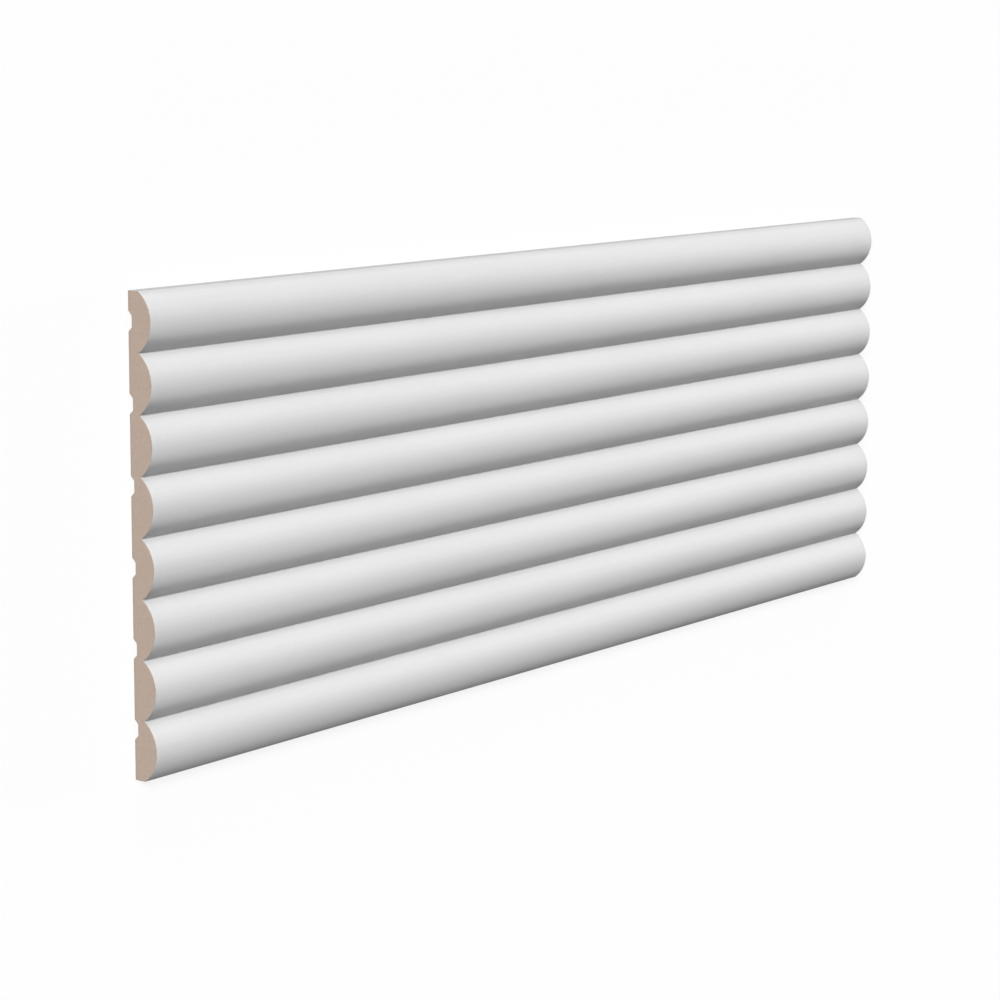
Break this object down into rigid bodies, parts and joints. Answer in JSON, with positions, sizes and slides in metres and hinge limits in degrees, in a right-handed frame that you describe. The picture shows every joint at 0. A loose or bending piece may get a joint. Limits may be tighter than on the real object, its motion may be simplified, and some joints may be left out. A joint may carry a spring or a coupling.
{
  "type": "fluted wall panel",
  "caption": "Painted MDF wall panel with convex reeds along its whole length and shallow relief grooves in its back; lines a wall beside others of its kind.",
  "frame": {"origin": "middle of the back, in the plane that the panel rests on", "axes": "+X along the reeds, +Y across them, +Z out of the reeded front"},
  "size_m": [0.56, 0.198, 0.012],
  "materials": {
    "painted_mdf": "satin"
  },
  "bodies": {
    "root": {"panel": "painted_mdf"}
  },
  "joints": []
}
